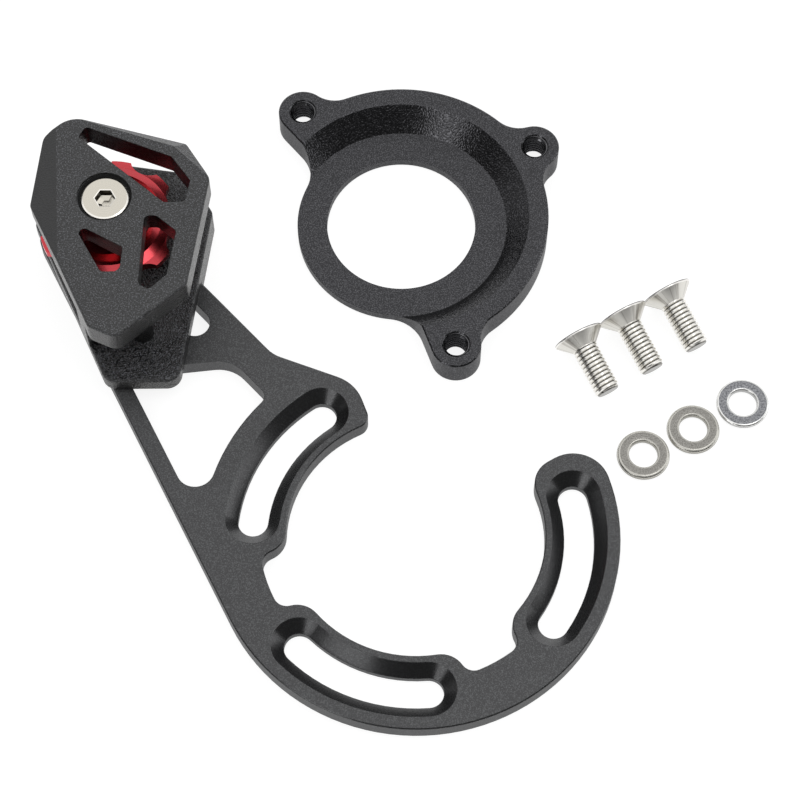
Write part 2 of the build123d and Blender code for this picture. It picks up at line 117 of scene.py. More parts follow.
# threads tapped after the blasting: smooth and keen at the edges, and painted lighter than the ring as the
# light they catch in the bore
tappedPaintedLightFinish = dict(
    ringFinish,
    colour="#6c6c6e",
    fleckColour="#808083",
    edgeTint=0.6,
    roughness=0.24,
    gritDepthMm=0.004,
    edgeMm=0.01,
)


def makeBlackAnodised(name, finish):
    material, tree = newMaterial(name)
    place = addNode(tree, "ShaderNodeTexCoord", {}, {})
    shape = addNode(tree, "ShaderNodeNewGeometry", {}, {})
    normal = addNode(tree, "ShaderNodeSeparateXYZ", {}, {"Vector": shape.outputs["True Normal"]})
    cut = addNode(tree, "ShaderNodeMath", {"operation": "COMPARE"}, {
        0: normal.outputs["Z"], 1: finish["cutSlope"], 2: finish["cutSpread"]})
    fineness = addNode(tree, "ShaderNodeMapRange", {}, {
        "Value": cut.outputs[0],
        "To Min": 1 / (finish["gritMm"] * mm), "To Max": 1 / (finish["cutGritMm"] * mm)})
    grit = addNode(tree, "ShaderNodeTexNoise", {}, {
        "Vector": place.outputs["Object"], "Scale": fineness.outputs["Result"], "Detail": 0.0})
    fleck = addNode(tree, "ShaderNodeMapRange", {"interpolation_type": "SMOOTHSTEP"}, {
        "Value": grit.outputs["Fac"],
        "From Min": finish["fleckRange"][0], "From Max": finish["fleckRange"][1]})
    colour = addNode(tree, "ShaderNodeMix", {"data_type": "RGBA"}, {
        0: fleck.outputs["Result"],
        6: linearColour(finish["colour"]), 7: linearColour(finish["fleckColour"])})
    rough = addNode(tree, "ShaderNodeMapRange", {}, {
        "Value": cut.outputs[0], "To Min": finish["roughness"], "To Max": finish["cutRoughness"]})
    depth = addNode(tree, "ShaderNodeMapRange", {}, {
        "Value": cut.outputs[0], "To Min": finish["gritDepthMm"] * mm,
        "To Max": finish["gritDepthMm"] * finish["cutGrit"] * mm})
    edge = addNode(tree, "ShaderNodeBevel", {"samples": edgeSamples}, {"Radius": finish["edgeMm"] * mm})
    bump = addNode(tree, "ShaderNodeBump", {}, {
        "Height": grit.outputs["Fac"], "Strength": 1.0, "Distance": depth.outputs["Result"],
        "Normal": edge.outputs["Normal"]})
    shader = addNode(tree, "ShaderNodeBsdfPrincipled", {}, {
        "Base Color": colour.outputs[2], "Metallic": 1.0, "Roughness": rough.outputs["Result"],
        "Specular Tint": [finish["edgeTint"]] * 3 + [1.0], "Normal": bump.outputs["Normal"]})
    addNode(tree, "ShaderNodeOutputMaterial", {}, {"Surface": shader.outputs["BSDF"]})
    return material


# Glass-filled nylon, moulded in a spark-eroded tool: dull charcoal with an even, pebbly grain and painted
# glints of highlight; painted shade darkens its steep walls, its left facet and its bolt recess
coverFinish = {
    "colour": "#090a0b",
    "peakColour": "#222326",
    "roughness": 0.29,
    "ior": 1.6,
    "pebbleMm": 0.42,
    "pebbleDepthMm": 0.09,
    "pebbleRange": (0.7, 0.1),     # from a pebble's foot to its top, in cell widths
    "paintedGlintColour": "#525357",
    "glintMm": 0.32,               # painted glints, specks of highlight coloured into the grain, drawn at this size
    "glintRange": (0.52, 0.72),    # noise levels over which a painted glint comes in
    "wallSlope": 0.35,             # steep walls, painted dark as shade, without the pebble peaks and painted glints
    "wallShadeColour": "#050506",
    "facetSlope": 0.955,           # the sloped left facet, its grain shallower, painted a flat darker colour as shade
    "facetSpread": 0.03,
    "facetShadeColour": "#0b0c0e",
    "facetGrain": 0.6,             # share of the grain's depth on that facet
    "edgeMm": 0.35,                # moulded edges, never quite sharp
    "recessMm": 6.2,               # floor of the bolt's recess: painted black as shade, as no light reaches it
    "recessShadeColour": "#040404",
    "recessRoughness": 1.0,
}
innerFinish = dict(coverFinish, peakColour="#202124", paintedGlintColour="#505156", pebbleDepthMm=0.2)


def makeNylon(name, finish, axisPoint):
    material, tree = newMaterial(name)
    place = addNode(tree, "ShaderNodeTexCoord", {}, {})
    pebble = addNode(tree, "ShaderNodeTexVoronoi", {"feature": "F1"}, {
        "Vector": place.outputs["Object"], "Scale": 1 / (finish["pebbleMm"] * mm)})
    peak = addNode(tree, "ShaderNodeMapRange", {"interpolation_type": "SMOOTHSTEP"}, {
        "Value": pebble.outputs["Distance"],
        "From Min": finish["pebbleRange"][0], "From Max": finish["pebbleRange"][1]})
    grain = addNode(tree, "ShaderNodeMix", {"data_type": "RGBA"}, {
        0: peak.outputs["Result"], 6: linearColour(finish["colour"]), 7: linearColour(finish["peakColour"])})
    # painted glints: specks of highlight coloured in over the pebbly grain
    glintNoise = addNode(tree, "ShaderNodeTexNoise", {}, {
        "Vector": place.outputs["Object"], "Scale": 1 / (finish["glintMm"] * mm), "Detail": 0.0})
    paintedGlint = addNode(tree, "ShaderNodeMapRange", {"interpolation_type": "SMOOTHSTEP"}, {
        "Value": glintNoise.outputs["Fac"],
        "From Min": finish["glintRange"][0], "From Max": finish["glintRange"][1]})
    grainAndPaintedGlints = addNode(tree, "ShaderNodeMix", {"data_type": "RGBA"}, {
        0: paintedGlint.outputs["Result"], 6: grain.outputs[2], 7: linearColour(finish["paintedGlintColour"])})
    fromAxis = addNode(tree, "ShaderNodeVectorMath", {"operation": "SUBTRACT"}, {
        0: place.outputs["Object"], 1: axisPoint})
    flat = addNode(tree, "ShaderNodeVectorMath", {"operation": "MULTIPLY"}, {
        0: fromAxis.outputs["Vector"], 1: (1.0, 1.0, 0.0)})
    radius = addNode(tree, "ShaderNodeVectorMath", {"operation": "LENGTH"}, {0: flat.outputs["Vector"]})
    # within the recess radius of the head's axis the colour is painted black as shade
    recess = addNode(tree, "ShaderNodeMath", {"operation": "LESS_THAN"}, {
        0: radius.outputs["Value"], 1: finish["recessMm"] * mm})
    shape = addNode(tree, "ShaderNodeNewGeometry", {}, {})
    normal = addNode(tree, "ShaderNodeSeparateXYZ", {}, {"Vector": shape.outputs["True Normal"]})
    # the left facet, picked out by its slope, takes a flat darker colour: painted shade
    facet = addNode(tree, "ShaderNodeMath", {"operation": "COMPARE"}, {
        0: normal.outputs["Z"], 1: finish["facetSlope"], 2: finish["facetSpread"]})
    skin = addNode(tree, "ShaderNodeMix", {"data_type": "RGBA"}, {
        0: facet.outputs[0], 6: grainAndPaintedGlints.outputs[2], 7: linearColour(finish["facetShadeColour"])})
    # steep walls take a flat dark colour: painted shade
    steep = addNode(tree, "ShaderNodeMath", {"operation": "COMPARE"}, {
        0: normal.outputs["Z"], 1: 0.0, 2: finish["wallSlope"]})
    sides = addNode(tree, "ShaderNodeMix", {"data_type": "RGBA"}, {
        0: steep.outputs[0], 6: skin.outputs[2], 7: linearColour(finish["wallShadeColour"])})
    colour = addNode(tree, "ShaderNodeMix", {"data_type": "RGBA"}, {
        0: recess.outputs[0], 6: sides.outputs[2], 7: linearColour(finish["recessShadeColour"])})
    rough = addNode(tree, "ShaderNodeMapRange", {}, {
        "Value": recess.outputs[0], "To Min": finish["roughness"], "To Max": finish["recessRoughness"]})
    depth = addNode(tree, "ShaderNodeMapRange", {}, {
        "Value": facet.outputs[0], "To Min": 1.0, "To Max": finish["facetGrain"]})
    edge = addNode(tree, "ShaderNodeBevel", {"samples": edgeSamples}, {"Radius": finish["edgeMm"] * mm})
    bump = addNode(tree, "ShaderNodeBump", {}, {
        "Height": peak.outputs["Result"], "Strength": depth.outputs["Result"],
        "Distance": finish["pebbleDepthMm"] * mm, "Normal": edge.outputs["Normal"]})
    shader = addNode(tree, "ShaderNodeBsdfPrincipled", {}, {
        "Base Color": colour.outputs[2], "Roughness": rough.outputs["Result"], "IOR": finish["ior"],
        "Normal": bump.outputs["Normal"]})
    addNode(tree, "ShaderNodeOutputMaterial", {}, {"Surface": shader.outputs["BSDF"]})
    return material


# Metals that were turned on a lathe: fine rings about the axis, seen as faint silk
redFinish = {
    "colour": "#d2484f",
    "ringColour": "#bb3b43",
    "ringMm": 0.22,
    "ringDepthMm": 0.003,
    "ringDetail": 2.0,
    "roughness": 0.24,
    "seal": 0.25,                  # weight of the clear seal over the red dye
    "sealRoughness": 0.08,
}
# nickel plate: bright, a little warm
nickelFinish = dict(
    redFinish, colour="#dcd7cc", ringColour="#cec9bd", roughness=0.2, ringMm=0.15, ringDepthMm=0.001,
    seal=0.0)
# near-white nickel for the bolt head's top edge and the bevel round its socket: a painted highlight
edgeHighlightFinish = dict(nickelFinish, colour="#fdfaf4", ringColour="#f6f2ea")
# broached socket walls, painted dark as shade inside the socket
socketShadeFinish = dict(
    nickelFinish, colour="#4d473e", ringColour="#38332c", roughness=0.3, ringMm=0.3, ringDepthMm=0.002)
# bare aluminium sleeves, a dull grey
sleeveFinish = dict(
    nickelFinish, colour="#c6c8ca", ringColour="#a9abad", roughness=0.32, ringMm=0.2, ringDepthMm=0.002)
# ground bearing steel, a soft mirror
bearingFinish = dict(nickelFinish, colour="#c9c8c6", ringColour="#b7b6b4", roughness=0.18, ringMm=0.1)


def makeTurned(name, finish, axisPoint):
    material, tree = newMaterial(name)
    place = addNode(tree, "ShaderNodeTexCoord", {}, {})
    fromAxis = addNode(tree, "ShaderNodeVectorMath", {"operation": "SUBTRACT"}, {
        0: place.outputs["Object"], 1: axisPoint})
    flat = addNode(tree, "ShaderNodeVectorMath", {"operation": "MULTIPLY"}, {
        0: fromAxis.outputs["Vector"], 1: (1.0, 1.0, 0.0)})
    radius = addNode(tree, "ShaderNodeVectorMath", {"operation": "LENGTH"}, {0: flat.outputs["Vector"]})
    rings = addNode(tree, "ShaderNodeTexNoise", {"noise_dimensions": "1D"}, {
        "W": radius.outputs["Value"], "Scale": 1 / (finish["ringMm"] * mm), "Detail": finish["ringDetail"]})
    colour = addNode(tree, "ShaderNodeMix", {"data_type": "RGBA"}, {
        0: rings.outputs["Fac"], 6: linearColour(finish["colour"]), 7: linearColour(finish["ringColour"])})
    bump = addNode(tree, "ShaderNodeBump", {}, {
        "Height": rings.outputs["Fac"], "Strength": 1.0, "Distance": finish["ringDepthMm"] * mm})
    shader = addNode(tree, "ShaderNodeBsdfPrincipled", {}, {
        "Base Color": colour.outputs[2], "Metallic": 1.0, "Roughness": finish["roughness"],
        "Coat Weight": finish["seal"], "Coat Roughness": finish["sealRoughness"],
        "Normal": bump.outputs["Normal"]})
    addNode(tree, "ShaderNodeOutputMaterial", {}, {"Surface": shader.outputs["BSDF"]})
    return material


# Stainless steel, cold headed and thread rolled: satin cone with soft streaks, a band of painted highlight
# and a thin painted dark reflection round the rim, and painted highlights on the crests over painted shade in
# the roots
stainlessFinish = {
    "colour": "#dfddd7",
    "roughness": 0.32,
    "streakColour": "#aeaba5",
    "streaks": 4.0,                # noise scale round the head, one unit is the radius
    "streakDetail": 3.0,
    "streakRange": (0.5, 0.62),    # noise levels over which a streak comes in
    "streakDepthMm": 0.006,
    "streakBump": 0.5,
    # below the top edge a band of painted highlight, and round the rim a thin line of painted dark reflection
    "bandHighlightColour": "#f6f4f0",
    "bandMm": 0.55,                # depths here are measured down from the head's flat top
    "rimDarkReflectionColour": "#5a5854",
    "rimMm": 0.2,
    "rimRadiusMm": 5.65,
    "threadMm": 3.4,
    "threadRoughness": 0.22,
    "rootShadeColour": "#85837e",
    "rootMm": 2.55,                # radii between which the roots' painted shade gives way to the crests' painted highlight
    "crestHighlightColour": "#efede8",
    "crestMm": 2.75,
}


def makeStainless(name, finish):
    material, tree = newMaterial(name)
    place = addNode(tree, "ShaderNodeAttribute", {"attribute_name": "ownAxes"}, {})
    around = addNode(tree, "ShaderNodeVectorMath", {"operation": "MULTIPLY"}, {
        0: place.outputs["Vector"], 1: (1.0, 1.0, 0.0)})
    along = addNode(tree, "ShaderNodeSeparateXYZ", {}, {"Vector": place.outputs["Vector"]})
    radius = addNode(tree, "ShaderNodeVectorMath", {"operation": "LENGTH"}, {0: around.outputs["Vector"]})
    heading = addNode(tree, "ShaderNodeVectorMath", {"operation": "NORMALIZE"}, {0: around.outputs["Vector"]})
    streak = addNode(tree, "ShaderNodeTexNoise", {}, {
        "Vector": heading.outputs["Vector"], "Scale": finish["streaks"], "Detail": finish["streakDetail"]})
    tone = addNode(tree, "ShaderNodeMapRange", {"interpolation_type": "SMOOTHSTEP"}, {
        "Value": streak.outputs["Fac"],
        "From Min": finish["streakRange"][0], "From Max": finish["streakRange"][1]})
    cone = addNode(tree, "ShaderNodeMix", {"data_type": "RGBA"}, {
        0: tone.outputs["Result"],
        6: linearColour(finish["colour"]), 7: linearColour(finish["streakColour"])})
    # threads: painted shade in the roots, painted highlight on the crests
    lift = addNode(tree, "ShaderNodeMapRange", {"interpolation_type": "SMOOTHSTEP"}, {
        "Value": radius.outputs["Value"],
        "From Min": finish["rootMm"] * mm, "From Max": finish["crestMm"] * mm})
    thread = addNode(tree, "ShaderNodeMix", {"data_type": "RGBA"}, {
        0: lift.outputs["Result"],
        6: linearColour(finish["rootShadeColour"]), 7: linearColour(finish["crestHighlightColour"])})
    isThread = addNode(tree, "ShaderNodeMath", {"operation": "LESS_THAN"}, {
        0: along.outputs["Z"], 1: -finish["threadMm"] * mm})
    # a painted dark reflection round the rim, and a painted highlight band under it
    isHigh = addNode(tree, "ShaderNodeMath", {"operation": "GREATER_THAN"}, {
        0: along.outputs["Z"], 1: -finish["rimMm"] * mm})
    isWide = addNode(tree, "ShaderNodeMath", {"operation": "GREATER_THAN"}, {
        0: radius.outputs["Value"], 1: finish["rimRadiusMm"] * mm})
    isDarkReflectionRim = addNode(tree, "ShaderNodeMath", {"operation": "MULTIPLY"}, {
        0: isHigh.outputs[0], 1: isWide.outputs[0]})
    isHighlightBand = addNode(tree, "ShaderNodeMath", {"operation": "GREATER_THAN"}, {
        0: along.outputs["Z"], 1: -finish["bandMm"] * mm})
    head = addNode(tree, "ShaderNodeMix", {"data_type": "RGBA"}, {
        0: isHighlightBand.outputs[0], 6: cone.outputs[2], 7: linearColour(finish["bandHighlightColour"])})
    body = addNode(tree, "ShaderNodeMix", {"data_type": "RGBA"}, {
        0: isThread.outputs[0], 6: head.outputs[2], 7: thread.outputs[2]})
    colour = addNode(tree, "ShaderNodeMix", {"data_type": "RGBA"}, {
        0: isDarkReflectionRim.outputs[0], 6: body.outputs[2], 7: linearColour(finish["rimDarkReflectionColour"])})
    rough = addNode(tree, "ShaderNodeMapRange", {}, {
        "Value": isThread.outputs[0], "To Min": finish["roughness"], "To Max": finish["threadRoughness"]})
    bump = addNode(tree, "ShaderNodeBump", {}, {
        "Height": streak.outputs["Fac"], "Strength": finish["streakBump"],
        "Distance": finish["streakDepthMm"] * mm})
    shader = addNode(tree, "ShaderNodeBsdfPrincipled", {}, {
        "Base Color": colour.outputs[2], "Metallic": 1.0, "Roughness": rough.outputs["Result"],
        "Normal": bump.outputs["Normal"]})
    addNode(tree, "ShaderNodeOutputMaterial", {}, {"Surface": shader.outputs["BSDF"]})
    return material


# Stamped steel, tumbled with stones: dull mottled faces, rounded edges painted brighter as highlight, sides
# torn by the punch
tumbledFinish = {
    "colour": "#a19f9a",
    "roughness": 0.3,
    "mottleColour": "#7a7873",
    "mottleMm": 0.26,
    "mottleDetail": 3.0,
    "mottleRange": (0.35, 0.68),   # noise levels over which a patch comes in
    "mottleDepthMm": 0.04,
    "edgeHighlightColour": "#cac8c1",
    "edgeRoughness": 0.26,
    "faceSlope": 0.995,            # a face turns into an edge of painted highlight between these two slopes
    "edgeSlope": 0.95,
    "sideColour": "#96948d",
    "sideSlope": 0.3,
}
# a washer tumbled for longer: bluer, with edges painted near white as highlight
polishedFinish = dict(
    tumbledFinish,
    colour="#9d9ea1",
    roughness=0.26,
    mottleColour="#68696d",
    mottleMm=0.4,
    mottleDepthMm=0.035,
    edgeHighlightColour="#f0f0ee",
    edgeRoughness=0.14,
    sideColour="#a9a9a8",
)


def makeTumbled(name, finish):
    material, tree = newMaterial(name)
    place = addNode(tree, "ShaderNodeTexCoord", {}, {})
    shape = addNode(tree, "ShaderNodeNewGeometry", {}, {})
    normal = addNode(tree, "ShaderNodeSeparateXYZ", {}, {"Vector": shape.outputs["True Normal"]})
    edgeHighlightMask = addNode(tree, "ShaderNodeMapRange", {"interpolation_type": "SMOOTHSTEP"}, {
        "Value": normal.outputs["Z"], "From Min": finish["faceSlope"], "From Max": finish["edgeSlope"]})
    side = addNode(tree, "ShaderNodeMath", {"operation": "LESS_THAN"}, {
        0: normal.outputs["Z"], 1: finish["sideSlope"]})
    mottle = addNode(tree, "ShaderNodeTexNoise", {}, {
        "Vector": place.outputs["Object"], "Scale": 1 / (finish["mottleMm"] * mm),
        "Detail": finish["mottleDetail"]})
    patch = addNode(tree, "ShaderNodeMapRange", {"interpolation_type": "SMOOTHSTEP"}, {
        "Value": mottle.outputs["Fac"],
        "From Min": finish["mottleRange"][0], "From Max": finish["mottleRange"][1]})
    face = addNode(tree, "ShaderNodeMix", {"data_type": "RGBA"}, {
        0: patch.outputs["Result"],
        6: linearColour(finish["colour"]), 7: linearColour(finish["mottleColour"])})
    # rounded edges, picked out by slope, take a brighter colour: painted highlight
    edge = addNode(tree, "ShaderNodeMix", {"data_type": "RGBA"}, {
        0: edgeHighlightMask.outputs["Result"], 6: face.outputs[2], 7: linearColour(finish["edgeHighlightColour"])})
    colour = addNode(tree, "ShaderNodeMix", {"data_type": "RGBA"}, {
        0: side.outputs[0], 6: edge.outputs[2], 7: linearColour(finish["sideColour"])})
    rough = addNode(tree, "ShaderNodeMapRange", {}, {
        "Value": edgeHighlightMask.outputs["Result"], "To Min": finish["roughness"], "To Max": finish["edgeRoughness"]})
    bump = addNode(tree, "ShaderNodeBump", {}, {
        "Height": mottle.outputs["Fac"], "Strength": 1.0, "Distance": finish["mottleDepthMm"] * mm})
    shader = addNode(tree, "ShaderNodeBsdfPrincipled", {}, {
        "Base Color": colour.outputs[2], "Metallic": 1.0, "Roughness": rough.outputs["Result"],
        "Normal": bump.outputs["Normal"]})
    addNode(tree, "ShaderNodeOutputMaterial", {}, {"Surface": shader.outputs["BSDF"]})
    return material


lowCorner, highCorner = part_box("pulley")
headAxis = (lowCorner + highCorner) / 2
armBlack = makeBlackAnodised("blackAnodisedArm", armFinish)
ringBlack = makeBlackAnodised("blackAnodisedRing", ringFinish)
# the threads' lighter colour is painted light
tappedBlack = makeBlackAnodised("blackAnodisedThread", tappedPaintedLightFinish)
coverNylon = makeNylon("mouldedCoverNylon", coverFinish, headAxis)
innerNylon = makeNylon("mouldedInnerNylon", innerFinish, headAxis)
redAnodised = makeTurned("redAnodisedAluminium", redFinish, headAxis)
nickelSteel = makeTurned("nickelPlatedSteel", nickelFinish, headAxis)
nickelPaintedHighlight = makeTurned("nickelEdgePaintedHighlight", edgeHighlightFinish, headAxis)
# socket walls coloured dark: painted shade
socketShadeSteel = makeTurned("socketWallsPaintedShade", socketShadeFinish, headAxis)
turnedAluminium = makeTurned("turnedAluminium", sleeveFinish, headAxis)
bearingSteel = makeTurned("groundBearingSteel", bearingFinish, headAxis)
stainless = makeStainless("rolledStainlessSteel", stainlessFinish)
tumbledSteel = makeTumbled("tumbledWasherSteel", tumbledFinish)
polishedSteel = makeTumbled("polishedWasherSteel", polishedFinish)

dressNode("arm_plate", armBlack)
dressNode("adapter_ring", ringBlack)
dressNode("inner_plate", innerNylon)
dressNode("outer_plate", coverNylon)
dressNode("pulley", redAnodised)
dressNode("slide_nut", nickelSteel)
dressNode("rear_spacer", turnedAluminium)
dressNode("front_spacer", turnedAluminium)
for nodeName in nodes:
    if nodeName.startswith("bearing_"):
        dressNode(nodeName, bearingSteel)
print("materials made and given to", len(nodes), "nodes")


# a finished mesh in its place on a body; ownAxes keeps each point as it was before it was placed
def newPiece(name, mesh, material, place, body, replaced):
    data = bpy.data.meshes.new(name)
    bmesh.ops.recalc_face_normals(mesh, faces=mesh.faces)
    mesh.to_mesh(data)
    mesh.free()
    data.materials.append(material)
    ownAxes = data.attributes.new("ownAxes", "FLOAT_VECTOR", "POINT")
    for vert in data.vertices:
        ownAxes.data[vert.index].vector = vert.co
    data.transform(place)
    piece = bpy.data.objects.new(name, data)
    bpy.context.scene.collection.objects.link(piece)
    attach(piece, body)
    if replaced:
        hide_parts(replaced)
    return piece


# smooth faces, with edges kept crisp where they turn more than the angle
def softenFaces(piece, angle):
    for face in piece.data.polygons:
        face.use_smooth = True
    piece.data.set_sharp_from_angle(angle=math.radians(angle))


def ringOfVerts(mesh, radius, z, count):
    ring = []
    for i in range(count):
        turn = 2 * math.pi * i / count
        ring.append(mesh.verts.new((radius * math.cos(turn), radius * math.sin(turn), z)))
    return ring


def bridgeRings(mesh, first, second):
    count = len(first)
    for i in range(count):
        j = (i + 1) % count
        mesh.faces.new((first[i], first[j], second[j], second[i]))


# a closed ring turned from the (radius, height) points of its section
def turnedRing(mesh, points, count):
    rings = [ringOfVerts(mesh, r * mm, z * mm, count) for r, z in points]
    for first, second in zip(rings, rings[1:] + rings[:1]):
        bridgeRings(mesh, first, second)


# part of a round corner, from one tangent point to the other
def roundCorner(centre, radius, startAngle, endAngle, steps):
    points = []
    for k in range(steps + 1):
        turn = math.radians(startAngle + (endAngle - startAngle) * k / steps)
        points.append((centre[0] + radius * math.cos(turn), centre[1] + radius * math.sin(turn)))
    return points


# one pitch of a thread, rolled with broad crests or cut: (share of the pitch, share of the depth)
rolledForm = ((0.0, 0.12), (0.07, 0.0), (0.14, 0.12), (0.36, 0.92), (0.6, 1.0), (0.84, 0.92))
cutForm = ((0.0, 0.06), (0.1, 0.0), (0.2, 0.06), (0.52, 0.93), (0.6, 1.0), (0.68, 0.93))
weldGap = 1e-7       # points of a thread that are nearer than this are one, in metres
sliverGap = 1e-8     # and edges shorter than this are dropped


# A helical sheet between two heights, closed at each with a flat cap. limitRadius trims
# the thread near its ends, and endRadii are the two caps' radii, low and high.
def threadSheet(mesh, form, rootRadius, crestRadius, pitch, low, high, limitRadius, endRadii, count):
    perTurn = len(form)
    rows = (math.ceil((high - low) / pitch) + 2) * perTurn
    columns = []
    for i in range(count):
        turn = 2 * math.pi * i / count
        column = []
        for row in range(rows + 1):
            share, lift = form[row % perTurn]
            z = low + (row // perTurn + share + i / count - 1) * pitch
            radius = limitRadius(rootRadius + lift * (crestRadius - rootRadius), z)
            if z <= low:
                z, radius = low, endRadii[0]
            if z >= high:
                z, radius = high, endRadii[1]
            spot = (radius * math.cos(turn) * mm, radius * math.sin(turn) * mm, z * mm)
            column.append(mesh.verts.new(spot))
        columns.append(column)
    for i in range(count):
        nextColumn = columns[(i + 1) % count]
        shift = perTurn if i == count - 1 else 0
        for row in range(rows - shift):
            mesh.faces.new((
                columns[i][row], nextColumn[row + shift], nextColumn[row + 1 + shift], columns[i][row + 1]))
    bmesh.ops.remove_doubles(mesh, verts=mesh.verts, dist=weldGap)
    bmesh.ops.dissolve_degenerate(mesh, edges=mesh.edges, dist=sliverGap)
    openEdges = [edge for edge in mesh.edges if edge.is_boundary]
    bmesh.ops.edgeloop_fill(mesh, edges=openEdges)


# what both kinds of screw share; lengths in millimetres
screwForm = {
    "drillShare": 0.45,      # the socket ends in a blunt drilled point, this share of its width
    "drillDrop": 0.45,
    "leadDrop": 0.45,        # the bevel round the socket drops by this share of its width
    "edgePoints": ((1.0, 0.0), (0.15, 0.4), (0.0, 0.7)),   # head's top edge: inset and drop, in edge rounds
    "underSteps": 3,
    "tipSlope": 0.9,         # how fast the tip's chamfer widens to the full thread
    "overlap": 0.3,          # the thread runs this far up into the shank
}


# Countersunk socket screw, head up, its flat top at z = 0. Material slot 1 takes
# the socket's walls, painted dark as shade, slot 2 the bevel round the socket and the head's top edge, a
# painted highlight on the bolt.
def screwMesh(size):
    mesh = bmesh.new()
    count = size["sides"]
    socketRadius = size["hexFlats"] / 2 / math.cos(math.pi / 6)
    perFlat = count // 6
    corners = [
        Vector((socketRadius * math.cos(k * math.pi / 3), socketRadius * math.sin(k * math.pi / 3)))
        for k in range(7)
    ]
    hexPoints = []
    for a, b in zip(corners, corners[1:]):
        hexPoints += [a.lerp(b, step / perFlat) for step in range(perFlat)]

    def hexRing(scale, z):
        return [mesh.verts.new((p.x * scale * mm, p.y * scale * mm, z * mm)) for p in hexPoints]

    lead = size["socketLead"]
    drillTip = hexRing(screwForm["drillShare"], -(size["hexDepth"] + screwForm["drillDrop"]))
    wallFoot = hexRing(1.0, -size["hexDepth"])
    wallTop = hexRing(1.0, -lead * screwForm["leadDrop"])
    mouth = hexRing(1.0 + lead / socketRadius, 0.0)
    edge = size["edgeRound"]
    headRadius = size["headRadius"]
    neck = size["shankRadius"]
    root = neck - size["threadDepth"]
    coneFoot = -size["rimHeight"] - (headRadius - neck)
    outside = [(headRadius - inset * edge, -drop * edge) for inset, drop in screwForm["edgePoints"]]
    outside += roundCorner(
        (headRadius - edge, -size["rimHeight"]), edge, 0, -45, screwForm["underSteps"])
    outside += [(neck, coneFoot), (neck, size["threadTop"]), (root, size["threadTop"])]
    turned = [ringOfVerts(mesh, r * mm, z * mm, count) for r, z in outside]
    rings = [drillTip, wallFoot, wallTop, mouth] + turned
    for first, second in zip(rings, rings[1:]):
        bridgeRings(mesh, first, second)
    mesh.faces.new(rings[0])
    mesh.faces.new(rings[-1])
    walls = set(wallFoot + wallTop)
    highlightPairs = (set(wallTop + mouth), set(turned[0] + turned[1]))
    for face in mesh.faces:
        if all(vert in walls for vert in face.verts):
            face.material_index = 1
        elif any(all(vert in pair for vert in face.verts) for pair in highlightPairs):
            face.material_index = 2
    low = -size["length"]
    tip = neck - size["tipChamfer"]

    def trimTip(radius, z):
        return min(radius, tip + max(0.0, z - low) * screwForm["tipSlope"])

    thread = bmesh.new()
    threadSheet(
        thread, rolledForm, root, neck, size["pitch"], low, size["threadTop"] + screwForm["overlap"], trimTip,
        (tip, root), size["threadSides"])
    threadData = bpy.data.meshes.new("threadPart")
    thread.to_mesh(threadData)
    thread.free()
    mesh.from_mesh(threadData)
    bpy.data.meshes.remove(threadData)
    return mesh


# Three loose screws, lying on the rim of the head and the tip
screwSize = {
    "headRadius": 5.9, "rimHeight": 0.4, "edgeRound": 0.14,
    "shankRadius": 3.0, "length": 15.0, "tipChamfer": 0.6,
    "pitch": 1.0, "threadDepth": 0.45, "threadTop": -3.5,
    "hexFlats": 4.0, "hexDepth": 2.4, "socketLead": 0.15,
    "sides": 60, "threadSides": 40, "crispAngle": 20,
}
# the row of screw heads: first place, spacing and clearance in millimetres, angles in degrees
screwRow = {
    "first": (37.464, 48.51), "spacing": 11.91, "rowAngle": 28.85,
    "heading": -62.3, "turns": (20, 95, 160), "clearance": 0.002,
}
screwRise = screwSize["headRadius"] - screwSize["shankRadius"]
screwRun = screwSize["length"] - screwSize["tipChamfer"] - screwSize["rimHeight"]
screwTilt = math.atan2(screwRise, screwRun)
rimReach = screwSize["headRadius"] * math.cos(screwTilt) + screwSize["rimHeight"] * math.sin(screwTilt)
screwLift = rimReach + screwRow["clearance"]
for index in range(3):
    along = screwRow["spacing"] * index
    x = screwRow["first"][0] + along * math.cos(math.radians(screwRow["rowAngle"]))
    y = screwRow["first"][1] + along * math.sin(math.radians(screwRow["rowAngle"]))
    lying = (
        Matrix.Translation((x * mm, y * mm, screwLift * mm))
        @ Matrix.Rotation(math.radians(screwRow["heading"]), 4, "Z")
        @ Matrix.Rotation(math.radians(90) + screwTilt, 4, "Y")
        @ Matrix.Rotation(math.radians(180), 4, "X")
        @ Matrix.Rotation(math.radians(screwRow["turns"][index]), 4, "Z")
    )
    screw = newPiece(
        f"rolledScrew_{index + 1}", screwMesh(screwSize), stainless, lying, "arm",
        f"mounting_screw_{index + 1}")
    screw.data.materials.append(socketShadeSteel)
    screw.data.materials.append(stainless)
    softenFaces(screw, screwSize["crispAngle"])

# The head bolt, threaded only where the nut holds it
boltSize = {
    "headRadius": 5.5, "rimHeight": 0.35, "edgeRound": 0.42,
    "shankRadius": 2.95, "length": 23.6, "tipChamfer": 0.6,
    "pitch": 1.0, "threadDepth": 0.55, "threadTop": -15.0,
    "hexFlats": 4.1, "hexDepth": 2.4, "socketLead": 0.26,
    "sides": 60, "threadSides": 40, "crispAngle": 20,
}
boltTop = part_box("head_bolt")[1].z
standing = Matrix.Translation((headAxis.x, headAxis.y, boltTop))
headBolt = newPiece(
    "plainHeadBolt", screwMesh(boltSize), nickelSteel, standing, "head", "head_bolt")
headBolt.data.materials.append(socketShadeSteel)
headBolt.data.materials.append(nickelPaintedHighlight)
softenFaces(headBolt, boltSize["crispAngle"])
print("screws and head bolt threaded")

